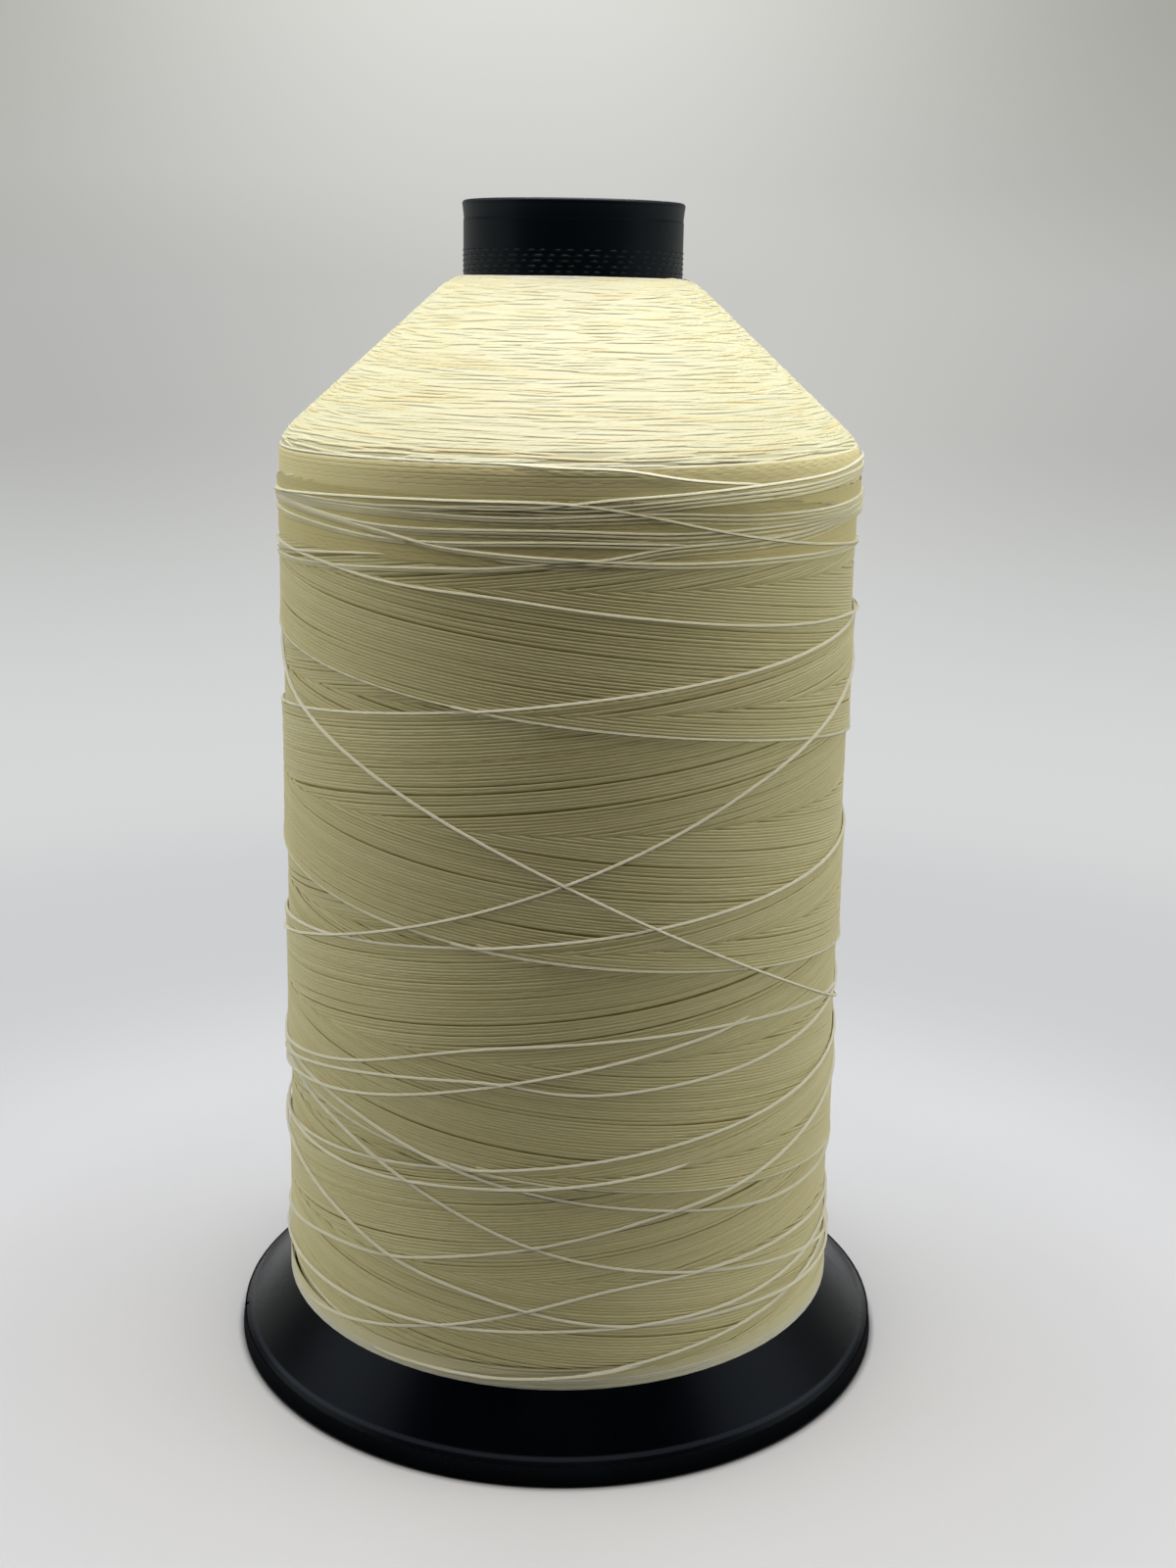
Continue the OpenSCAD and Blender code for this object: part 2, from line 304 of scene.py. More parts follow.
def lathe_piece(name, azimuth, radius, height, material, nodes):
    """A closed ring of profiles: radius and height are (profile points, azimuths), and the
    profile runs up the outside and down the inside."""
    rows, columns = radius.shape
    points = on_axis(radius, np.broadcast_to(azimuth, radius.shape), height).reshape(-1, 3)
    i, k = np.meshgrid(np.arange(rows), np.arange(columns), indexing="ij")
    corner_i = np.stack([i, i, i + 1, i + 1], -1)
    corner_k = np.stack([k, k + 1, k + 1, k], -1)
    quads = (corner_i % rows) * columns + corner_k % columns
    bake = np.stack([corner_k / columns, corner_i / rows], -1)
    no_tris = np.zeros((0, 3), int)
    maps = {"OFBake": bake.reshape(-1, 2)}
    new_piece(name, points, quads.reshape(-1, 4), no_tris, maps, {}, material, nodes)


# ---------------------------------------------------------------- the package's surface
def core_radius(z):
    """Radius of the plain package at a height on its body: a slight cone."""
    share = (z - PACK_FOOT_Z) / (SHOULDER_Z - PACK_FOOT_Z)
    return PACK_FOOT_R + (PACK_HEAD_R - PACK_FOOT_R) * share


def ages(azimuth, z):
    """Ages, from 0 to 1, of the youngest rising and the youngest falling turn at a place."""
    t = (azimuth - LINE_AZIMUTH) / 360
    x = (z - LINE_Z) / PITCH
    return (t - x) % 1, (t + x) % 1


def layer_height(age):
    """What one layer adds at a place whose turn has an age from 0 to 1: the newest turns lie
    on top of the rest of the layer and stand proud of it."""
    return LAYER * (1 - age) + PROUD * np.exp(-age * STRANDS / PROUD_TURNS)


def body_radius(azimuth, z):
    """Radius of the centre of the turn that shows at a place on the body."""
    rising, falling = ages(azimuth, z)
    return core_radius(z) + BODY_LIFT + layer_height(rising) + layer_height(falling)


# The round between the body and the cone: its turn in radians, its centre and its length
ROUND_TURN = np.pi / 2 - SHOULDER_SLOPE
ROUND_R = PACK_HEAD_R - SHOULDER_ROUND
ROUND_Z = SHOULDER_Z - SHOULDER_ROUND * np.tan(ROUND_TURN / 2)
ROUND_LENGTH = SHOULDER_ROUND * ROUND_TURN
SLOPE_LENGTH = (ROUND_R + SHOULDER_ROUND * np.cos(ROUND_TURN) - TUBE_R) / np.cos(SHOULDER_SLOPE)
SHOULDER_LENGTH = ROUND_LENGTH + SLOPE_LENGTH
# Height of the shoulder's turns over the plain package, and by how much and over what length
# it shrinks towards the tube
SHOULDER_LIFT = 0.6
THINNING = 0.6
THIN_LENGTH = 4.5


def shoulder(q, lift):
    """Radius, height and tilt of the normal at a length q up the shoulder, lifted off the
    plain package: first the body, where q is below 0, then the round, then the cone. The
    lift shrinks near the tube, where the package gets thin."""
    turn = np.clip(q / SHOULDER_ROUND, 0, ROUND_TURN)
    below = np.minimum(q, 0)
    beyond = np.maximum(q - ROUND_LENGTH, 0)
    lift = lift - THINNING * smooth((q - SHOULDER_LENGTH + THIN_LENGTH) / THIN_LENGTH)
    radius = ROUND_R + SHOULDER_ROUND * np.cos(turn) - beyond * np.cos(SHOULDER_SLOPE)
    height = ROUND_Z + SHOULDER_ROUND * np.sin(turn) + below + beyond * np.sin(SHOULDER_SLOPE)
    return radius + lift * np.cos(turn), height + lift * np.sin(turn), turn


def edge_sway(azimuth):
    """How far the shoulder's edge stands above its mean height at an azimuth a: the sway
    times sin a |sin a|."""
    side = np.sin(np.radians(azimuth))
    return EDGE_SWAY * side * abs(side)


# ---------------------------------------------------------------- crosswound turns
def strand_lay():
    """How the strands of one direction lie. Most lie side by side, some steps are a little
    wider, and a few leave an open gap; each strand has its own slow waves and tint. shift is
    how far a strand lies from its even place: the sum of the steps up to it, less its number."""
    open_share, wide_share = 0.09, 0.16
    kind = rng.random(STRANDS)
    step = 0.93 + rng.normal(0, 0.025, STRANDS)
    step += np.where(kind < open_share, rng.uniform(0.3, 0.7, STRANDS), 0)
    step += np.where(kind > 1 - wide_share, rng.uniform(0.08, 0.25, STRANDS), 0)
    place = np.cumsum(step / step.mean()) - np.arange(STRANDS)
    return {
        "shift": (place - place[0]) * PITCH / STRANDS,
        "phase": rng.random((STRANDS, 3)) * 2 * np.pi,
        "tint": rng.normal(0, 1, STRANDS),
    }


def crosswound_groups(direction, lay, strands, section, lean, pale):
    """Each stretch in which a turn of the outer layer shows.

    Rising turns (direction 1) of age a start on the line k at x = k/2, t = a + k/2, in
    turns, and climb for (1 - a)/2 of a turn until the newest falling turn covers them.
    Falling turns are the mirror image. A start comes up from one thread below, and the end
    runs on under the turn that covers it. At both ends of the body the turns dive under the
    level turns that lie there. Stretches of about the same length have as many rings each
    and make one group."""
    wave_count = np.array([2.3, 4.1, 7.7])
    wave_height = np.array([0.06, 0.045, 0.02])
    shortest = 0.004
    four_rings = 26 / 360
    lines = np.arange(-7, 4)
    strand, line = (g.ravel() for g in np.meshgrid(strands, lines, indexing="ij"))
    age = (strand + 0.5) / STRANDS
    line_z = LINE_Z + PITCH * line / 2
    to_low = (BODY_LOW_Z - line_z) * direction / PITCH
    to_high = (BODY_TOP_Z - line_z) * direction / PITCH
    start = np.maximum(0, np.minimum(to_low, to_high))
    end = np.minimum((1 - age) / 2, np.maximum(to_low, to_high))
    kept = end - start > shortest
    strand, line, age, start, end = (v[kept] for v in (strand, line, age, start, end))
    from_line = start == 0
    to_cover = end == (1 - age) / 2
    first = start - np.where(from_line, RISE, 0)
    last = end + np.where(to_cover, OVERRUN, 0)
    ring_count = 8 + 4 * np.ceil((last - first) / four_rings).astype(int)
    groups = []
    for rings in np.unique(ring_count):
        own = ring_count == rings
        near = np.linspace(0, 2 * RISE, 5)[None]
        rest = np.linspace(0, 1, rings - 4)[None, 1:]
        a0, a1 = first[own][:, None], last[own][:, None]
        s = np.concatenate([a0 + near, a0 + 2 * RISE + (a1 - a0 - 2 * RISE) * rest], 1)
        s = np.where(a1 - a0 > 3 * RISE, s, a0 + (a1 - a0) * np.linspace(0, 1, rings)[None])
        j, k, a = strand[own][:, None], line[own][:, None], age[own][:, None]
        x = k / 2 + direction * s
        waves = np.sin(2 * np.pi * x[..., None] * wave_count + lay["phase"][j]) @ wave_height
        azimuth = LINE_AZIMUTH + 360 * (a + direction * k / 2 + s)
        z = LINE_Z + PITCH * x - direction * lay["shift"][j] + waves
        sunk = np.where(from_line[own][:, None], 1 - smooth((s + RISE) / (2 * RISE)), 0)
        dive = (
            smooth((z - BODY_TOP_Z + TOP_DIVE) / DIVE_LENGTH)
            + smooth((BODY_LOW_Z + LOW_DIVE - z) / DIVE_LENGTH))
        other = np.clip(a + 2 * s, 0, 1)
        radius = core_radius(z) + BODY_LIFT + layer_height(a) + layer_height(other)
        radius = radius - THREAD_D * sunk - DIVE_DEPTH * dive + section[1] - BODY_SECTION[1]
        # pale raises the tint towards the paler colour: painted light on the newest turns, which stand
        # proud.
        tint = lay["tint"][strand[own]] + pale
        out = leant(outward(azimuth), lean)
        groups.append(turns(on_axis(radius, azimuth, z), out, tint, section))
    return groups


# ---------------------------------------------------------------- turns on the shoulder
SHOULDER_ARCS = 1350
# Where the level turns at the foot of the shoulder end and the arcs begin, and how far
# below the tube the arcs end
ARCS_FROM = 1.4
ARCS_END = 1.3
# The angle that spreads the arcs evenly round the spool, whatever their number
GOLDEN_ANGLE = 137.508
# Turns near the shoulder's edge take their light from this much higher than their flat side
# faces, in radians, though no higher than the cone faces
LIT_RAISE = 0.55


def shoulder_groups():
    """Turns on the conical shoulder. Each shows near the place where it turned back: an arc
    that is level at its peak and falls off to both sides, like c (sqrt(w^2 + a^2) - w) over
    the azimuth a. It waves a little up and down and in and out, so that neighbours cross
    over and under each other, and its ends dive into the bed. An arc that would fall past
    the shoulder's edge is turned back up by 1.3 times as much, and sinks under the others.
    Number times 50 and 70 are the phases of its waves, in degrees."""
    number = np.arange(SHOULDER_ARCS)[:, None]
    column = (SHOULDER_ARCS, 1)
    along = np.linspace(-1, 1, 11)[None]
    reach = rng.uniform(9, 25, column) * along
    peak = (number + 0.5) / SHOULDER_ARCS
    span = SHOULDER_LENGTH - ARCS_END - ARCS_FROM
    q0 = ARCS_FROM + peak * span + rng.normal(0, 0.06, column)
    width = rng.uniform(12, 30, column)
    steep = rng.uniform(0.006, 0.018, column)
    drop = steep * (np.sqrt(width ** 2 + reach ** 2) - width)
    wave = np.sin(np.radians(reach * rng.uniform(8, 18, column) + number * 50))
    azimuth = number * GOLDEN_ANGLE + rng.normal(0, 10, column) + reach
    q = q0 - drop + rng.normal(0, 0.016, column) * reach + 0.09 * wave
    below = np.maximum(ARCS_FROM + edge_sway(azimuth) - q, 0)
    q = q + 1.3 * below
    bob = np.sin(np.radians(reach * rng.uniform(9, 16, column) + number * 70))
    lift = SHOULDER_LIFT + 0.03 * bob - 0.3 * along ** 4 - 0.5 * np.minimum(below, 1)
    radius, z, tilt = shoulder(q, lift)
    lit = outward(azimuth, np.minimum(tilt + LIT_RAISE, ROUND_TURN))
    tint = rng.normal(0, 1.3, SHOULDER_ARCS)
    path = on_axis(radius, azimuth, z)
    return [turns(path, outward(azimuth, tilt), tint, SHOULDER_SECTION, lit)]


# ---------------------------------------------------------------- loose turns
def spline(knots, count):
    """Points along a natural cubic spline of height over azimuth through a few knots: its
    second derivatives, bend, solve the usual three-banded system and are 0 at both ends."""
    a, z = np.array(knots, float).T
    order = np.argsort(a)
    a, z = a[order], z[order]
    gap = np.diff(a)
    size = len(a)
    system, right = np.eye(size), np.zeros(size)
    for i in range(1, size - 1):
        system[i, i - 1:i + 2] = gap[i - 1], 2 * (gap[i - 1] + gap[i]), gap[i]
        right[i] = 6 * ((z[i + 1] - z[i]) / gap[i] - (z[i] - z[i - 1]) / gap[i - 1])
    bend = np.linalg.solve(system, right)
    at = np.linspace(a[0], a[-1], count)
    i = np.clip(np.searchsorted(a, at) - 1, 0, size - 2)
    left, ahead = at - a[i], a[i + 1] - at
    height = (
        (bend[i] * ahead ** 3 + bend[i + 1] * left ** 3) / (6 * gap[i])
        + (z[i] / gap[i] - bend[i] * gap[i] / 6) * ahead
        + (z[i + 1] / gap[i] - bend[i + 1] * gap[i] / 6) * left)
    return at, height


def riding_radius(azimuth, z):
    """Radius of the centre of a taut turn on the body: it rests on the highest places within
    some degrees to both sides, as their greatest, and bridges the rest in a smooth arc, as a
    running mean of that over the same degrees."""
    bridge = 9
    across = np.array([-THREAD_D, 0, THREAD_D])
    top = body_radius(azimuth[:, None], z[:, None] + across).max(-1)
    half = round(bridge / (azimuth[1] - azimuth[0]))
    window = np.lib.stride_tricks.sliding_window_view
    highest = window(np.pad(top, half, "edge"), 2 * half + 1).max(-1)
    kernel = np.hanning(2 * half + 3)[1:-1]
    return window(np.pad(highest, half, "edge"), 2 * half + 1) @ kernel / kernel.sum()


def loose_group(knots, level, tint, lean):
    """One turn that lies loose on the body at one of a few levels, with both ends tucked in
    slowly. Over the shoulder's round it comes inwards by R - sqrt(R^2 - h^2)."""
    ring_step, tuck = 3, 16
    span = max(k[0] for k in knots) - min(k[0] for k in knots)
    azimuth, z = spline(knots, int(span / ring_step) + 2)
    from_end = np.minimum(azimuth - azimuth[0], azimuth[-1] - azimuth)
    sunk = 1 - smooth(from_end / tuck)
    above = np.clip(z - ROUND_Z, 0, SHOULDER_ROUND)
    rounded = SHOULDER_ROUND - np.sqrt(SHOULDER_ROUND ** 2 - above ** 2)
    radius = riding_radius(azimuth, z) + BODY_SECTION[1] + 0.1 + 0.1 * level
    radius = radius - rounded - 2.4 * THREAD_D * sunk
    path = on_axis(radius, azimuth, z)[None]
    return turns(path, leant(outward(azimuth), lean)[None], np.array([tint]), LOOSE_SECTION)


# Routes of the loose turns, as (azimuth, height): each list is one stretch of thread, and
# the number after it is its level, from the lowest up
LOOSE = [
    # the long pair that crosses on the front
    ([(-255, 132), (-160, 124), (-75, 112.5), (-70, 111), (2, 87.3), (70, 62), (75, 60.5),
      (180, 46), (285, 36.5), (315, 31), (326, 28.2), (345, 25), (356, 23), (375, 20.3),
      (390, 19.5), (430, 17.5), (520, 15)], 1),
    ([(215, 131), (140, 122), (75, 110.5), (2, 87.3), (-75, 69.5), (-180, 56), (-290, 45.5),
      (-320, 40), (-340, 37), (-363, 33), (-380, 30), (-394, 27.5), (-405, 26.5),
      (-435, 22.5), (-520, 17)], 0),
    # the flat pair and the one that ends above it
    ([(-150, 42), (-75, 51.5), (-40, 57), (-15, 62.5), (0, 64), (20, 64.8), (40, 64.6),
      (70, 62.3), (150, 55), (215, 48)], 0),
    ([(-140, 41), (-70, 50.5), (-45, 54.5), (-20, 57.5), (-8, 57.8), (0, 57), (20, 57),
      (40, 58), (70, 60.7), (160, 67)], 1),
    ([(-130, 44), (-65, 49), (-40, 52), (-8, 58), (20, 62.5), (38, 65), (48, 66.7)], 2),
    # those that fall across the lower half
    ([(-130, 58), (-65, 49), (-40, 44), (-20, 38), (-3, 33), (20, 28.5), (40, 25.5),
      (70, 21), (140, 15)], 0),
    ([(-90, 51), (-40, 48.5), (-20, 44.5), (0, 41), (25, 37.5), (40, 35.5), (70, 34),
      (130, 33)], 0),
    ([(-140, 41), (-70, 40), (-40, 40), (-10, 42), (10, 43.5), (35, 45.5)], 1),
    # near the foot
    ([(-120, 12.2), (-60, 12.5), (-30, 17), (-4, 23), (10, 26), (25, 27), (70, 26.6),
      (150, 21)], 1),
    ([(-110, 11.7), (-60, 11.6), (-30, 11.8), (-12, 12.2), (0, 12.8), (14, 13.7), (26, 14.4)], 1),
    ([(-150, 16), (-70, 18), (-20, 19), (0, 20), (40, 20.5), (70, 22.3), (150, 27)], 2),
]

# The loose bundle under the shoulder: each stretch has its route over the front, its level,
# how many turns lie side by side in it, and the stretch that it goes on to round the back
BUNDLE = {
    "long_crossing": ([(-92, 136.2), (-73, 137), (-39, 138.4), (-11, 139), (3, 138.8), (13, 137.7),
                       (29, 135.2), (45, 133.1), (71, 131), (92, 129.8)], 2, 1, "low_left"),
    "middle_high": ([(-92, 136.3), (-54, 136.9), (-30, 137), (-4, 137), (20, 137.6), (33, 137.1),
                     (48, 136.9), (68, 137.3), (92, 138)], 0, 3, "to_shoulder"),
    "to_shoulder": ([(-92, 136.8), (-42, 137.4), (-26, 137.7), (-11, 138.3), (3, 138.4), (19, 139.2),
                     (33, 140), (48, 140.5), (71, 141.4), (92, 141.8)], 0, 3, "long_crossing"),
    "shoulder_edge": ([(-45, 137), (-20, 137.9), (-2, 138.4), (7, 139.3), (20, 140.1), (33, 140.8),
                       (48, 141.4), (62, 142), (71, 142.6), (92, 142.9)], 1, 1, "pair"),
    "middle": ([(-92, 136.6), (-72, 136.3), (-51, 135.6), (-34, 134.9), (-22, 135), (3, 135.4),
                (20, 135), (38, 135.2), (56, 135.6), (68, 136.3), (92, 137)], 0, 3, "middle_high"),
    "pair": ([(-92, 136.2), (-72, 136), (-42, 134.9), (-33, 134.1), (-23, 132.9), (-14, 132.3),
              (5, 131.6), (25, 131), (40, 131), (56, 130.8), (71, 130.7), (92, 130.5)], 1, 2, "falling"),
    "joining": ([(-92, 134.8), (-73, 134.4), (-48, 133.8), (-39, 133.4), (-26, 133.2), (-2, 133.9),
                 (17, 133.7), (34, 133.2)], 0, 2, None),
    "leaving": ([(-24, 132.4), (-8, 131.6), (9, 131.8), (17, 132.9), (25, 133.4), (38, 133.7),
                 (52, 134.3), (68, 135.4), (92, 136)], 0, 3, "middle"),
    "low_left": ([(-92, 128), (-59, 129.4), (-37, 130.9), (-22, 131.5)], 0, 1, None),
    "low_middle": ([(-92, 127.6), (-46, 128.6), (-22, 129.8), (-11, 130.3), (-4, 130.9), (12, 131.6)],
                   0, 2, None),
    "falling": ([(-92, 130.1), (-74, 129.6), (-48, 128.7), (-35, 127.6), (-22, 126.9), (-11, 126.4),
                 (5, 124.9), (19, 123.6), (40, 121.9), (60, 120.9), (80, 120.5), (100, 120.8)], 1, 1, None),
    "off_shoulder": ([(-14, 144), (4, 143.5), (11, 143.3), (20, 142.3), (30, 141.5), (46, 140.8)],
                     -1, 1, None),
}


def bundle_groups():
    """The loose bundle, as the topmost turn of each stretch and those that lie beside it, a
    thread apart and drifting a little."""
    topmost, beside = [], []
    for knots, level, count, after in BUNDLE.values():
        back = []
        if after:
            first = BUNDLE[after][0][0]
            back = [(180, (knots[-1][1] + first[1]) / 2), (first[0] + 360, first[1])]
        for i in range(count):
            aside = [
                (a, z - THREAD_D * i * (1 + 0.25 * np.sin(np.radians(2.3 * a))))
                for a, z in knots + back]
            if i == 0:
                topmost.append(loose_group(aside, level, 3.0, LOOSE_LEAN))
            else:
                beside.append(loose_group(aside, level - i, 3.0, BESIDE_LEAN))
    return topmost, beside


# ---------------------------------------------------------------- turns at the two edges
# Degrees that a level turn goes round, past its own start, and those in which an end dives
LEVEL_SWEEP = 376
LEVEL_DIVE = 9


def level_groups(place, values, wander, tint, section, lean=0.0, raised=0.0):
    """Whole level turns at an edge of the package, each a slow ring whose ends pass each
    other and dive. place gives radius, height and tilt for a length along the package's
    profile and an azimuth. A ring wanders by the sum of sin(n a + p) / n, and climbs by half
    a thread. It takes its light from raised radians above the way that its flat side faces,
    at most from the way that the cone faces."""
    azimuth = np.linspace(0, LEVEL_SWEEP, 95)
    sunk = 1 - smooth(np.minimum(azimuth, LEVEL_SWEEP - azimuth) / LEVEL_DIVE)
    groups = []
    for value in values:
        a = azimuth + rng.uniform(0, 360)
        phase = rng.random(3) * 2 * np.pi
        wave = sum(np.sin(np.radians(a * n) + p) / n for n, p in zip((2, 5, 9), phase))
        spiral = (azimuth / LEVEL_SWEEP - 0.5) * THREAD_D * 0.5
        radius, z, tilt = place(value + wander * wave + spiral, a)
        path = on_axis(radius - THREAD_D * sunk, a, z)
        out = leant(outward(a, tilt), lean)
        lit = leant(outward(a, np.minimum(tilt + raised, ROUND_TURN)), lean)
        groups.append(turns(path[None], out[None], np.array([tint]), section, lit[None]))
    return groups


def edge_place(lift):
    """Places up the shoulder from its own skew edge, lifted off the plain package."""
    return lambda q, azimuth: shoulder(q + edge_sway(azimuth), lift)


def foot_place(z, _):
    """The lowest turns, which lie on the foot's cone and against the body."""
    return core_radius(z) + 0.95, z, 0 * z


def bundle_bed(z, azimuth):
    """The level turns that the loose bundle lies on, just over the crosswound ones."""
    return body_radius(azimuth, z) + 0.15, z, 0 * z


def head_place(u, _):
    """The last turns round the tube, u down the slope from the topmost."""
    radius = TUBE_R + 0.35 + u * np.cos(SHOULDER_SLOPE)
    height = HEAD_Z - 0.9 - u * np.sin(SHOULDER_SLOPE)
    return radius, height, 0.8 + 0 * u


# ---------------------------------------------------------------- the bed under the turns
def inner_turns(material):
    """The package under its outer turns: up the body, over the shoulder, down the tube and
    out along the foot's cone. On the body the radius follows the turns above it, as the
    least of the nine places around, and stays under them."""
    step_a, step_z, under = 1.5, 1.0, 0.25
    azimuth = np.arange(0, 360, step_a)
    flat = np.ones((1, len(azimuth)))
    body_z = np.arange(PACK_FOOT_Z, ROUND_Z, step_z)
    a, z = np.meshgrid(azimuth, body_z)
    least = np.minimum.reduce([
        body_radius(a + i, z + j)
        for i in (-step_a, 0, step_a) for j in (-step_z, 0, step_z)])
    q = np.linspace(0.4, SHOULDER_LENGTH - 1.5, 40)
    cone_r, cone_z, _ = shoulder(q, SHOULDER_LIFT + 0.03)
    inner_z = np.array([HEAD_Z - 1.2, 120.0, 80.0, 44.0])
    foot_r = np.array([18.2, 30.0, 40.0])
    foot_z = PACK_FOOT_Z + (PACK_FOOT_R - foot_r) * FOOT_SLOPE + 0.1
    rest_r = np.concatenate([cone_r, np.full(4, TUBE_R - 0.2), foot_r])
    rest_z = np.concatenate([cone_z, inner_z, foot_z])
    radius = np.concatenate([least - under, rest_r[:, None] * flat])
    height = np.concatenate([z, rest_z[:, None] * flat])
    lathe_piece("inner_turns", azimuth, radius, height, material, ["thread_core"])


# ---------------------------------------------------------------- the tube
# The grip on the tube: its topmost row, the rows' pitch and number, and a ridge's height
# and half width
KNURL_TOP_Z = 171.0
KNURL_PITCH = 0.73
KNURL_ROWS = 10
KNURL_H = 0.12
KNURL_HALF = 0.15


def knurl(azimuth, z):
    """Height of the grip on the tube: level rows of short dashes, cos^2 across a row. Along
    a row the dashes are where two sine waves of the row's own phase add up to enough."""
    row = np.clip(np.rint((KNURL_TOP_Z - z) / KNURL_PITCH), 0, KNURL_ROWS - 1).astype(int)
    off = z - (KNURL_TOP_Z - row * KNURL_PITCH)
    ridge = np.where(abs(off) < KNURL_HALF, np.cos(np.pi * off / (2 * KNURL_HALF)) ** 2, 0)
    phase = (rng.random(KNURL_ROWS) * 2 * np.pi)[row]
    a = np.radians(azimuth)
    wave = np.sin(52 * a + phase) + 0.7 * np.sin(79 * a + 2.3 * phase)
    return KNURL_H * ridge * smooth((wave + 0.1) / 0.4)


def tube_piece(material):
    """The tube: plain wall, rows of grip dashes, a fine step and a nose that flares to its
    rounded rim, where a few small nicks show."""
    top, low = tube_high[2], tube_low[2]
    bore = TUBE_R - TUBE_WALL
    columns = 480
    azimuth = np.arange(columns) * 360 / columns
    grip_z = np.arange(
        KNURL_TOP_Z - (KNURL_ROWS - 1) * KNURL_PITCH, KNURL_TOP_Z + 0.2, KNURL_HALF / 3)
    a, z = np.meshgrid(azimuth, grip_z)
    grip_r = TUBE_R + knurl(a, z)
    below = [
        (bore + 0.4, low), (TUBE_R - 0.4, low), (TUBE_R, low + 0.4),
        (TUBE_R, 60), (TUBE_R, 120)]
    above = [
        (TUBE_R, 171.6), (TUBE_R, top - 3), (TUBE_R, top - 2.7), (TUBE_R - 0.06, top - 2.6),
        (TUBE_R - 0.05, top - 2.4), (TUBE_R + 0.02, top - 1.6), (TUBE_R + 0.12, top - 0.8),
        (TUBE_R + 0.18, top - 0.5), (TUBE_R + 0.13, top - 0.25), (TUBE_R, top - 0.07),
        (TUBE_R - 0.2, top), (bore + 0.4, top), (bore + 0.12, top - 0.12), (bore, top - 0.4),
        (bore, 120), (bore, 60), (bore, low + 0.4)]
    below_r, below_z = (np.array(v)[:, None] + 0 * azimuth for v in zip(*below))
    above_r, above_z = (np.array(v)[:, None] + 0 * azimuth for v in zip(*above))
    nick = smooth((rng.random(columns) - 0.93) / 0.05) * rng.uniform(0.02, 0.1, columns)
    # The two points of the profile at the outer edge of the rim
    above_z[9:11] -= nick
    radius = np.concatenate([below_r, grip_r, above_r])
    height = np.concatenate([below_z, z, above_z])
    lathe_piece("tube", azimuth, radius, height, material, ["barrel"])


# ---------------------------------------------------------------- materials
# The thread as it lies in each part of the package: its own, deeper and paler colour, its
# roughness, and the ply, softness and groove shade of thread_material. The same thread is given
# paler colours on the loose, banded, reversal, edge and shoulder turns than on the body's turns:
# painted light where those turns catch more of it.
THREADS = {
    "bonded_nylon_thread": ("#cbc59e", "#b5ac7e", "#e6e3d0", 0.45, 0.12, 0.28, 0.8),
    "bonded_nylon_band": ("#dcd7b4", "#cec79f", "#e6e3d0", 0.5, 0.12, 0.84, 0.6),
    "bonded_nylon_reversal": ("#eae1b2", "#ddd3a0", "#e6e3d0", 0.5, 0.03, 0.75, 0.5),
    "bonded_nylon_shoulder": ("#d1d2b7", "#d4c186", "#d9d9ce", 0.5, 0.6, 0.93, 1.5),
    "bonded_nylon_loose": ("#d4d1b9", "#c9c6ab", "#dad8c7", 0.4, 0.3, 0.86, 0.0),
    "bonded_nylon_edge": ("#cdcdc1", "#b4b3a0", "#dcdcd2", 0.5, 0.3, 0.78, 1.0),
    "bonded_nylon_level": ("#d1c796", "#c0b581", "#dad3a8", 0.5, 0.03, 0.78, 0.8),
}
# Length of thread in which a ply goes once round, and how deep the plies' grooves are
PLY_PITCH = 1.35
PLY_DEPTH = 0.03
# A turn's tint runs from deep to base between these two, and past them to pale at a third;
# the pale end is painted light on the turns that stand proud
TINT_RANGE = 3.0
TINT_PAINTED_LIT = 6.0


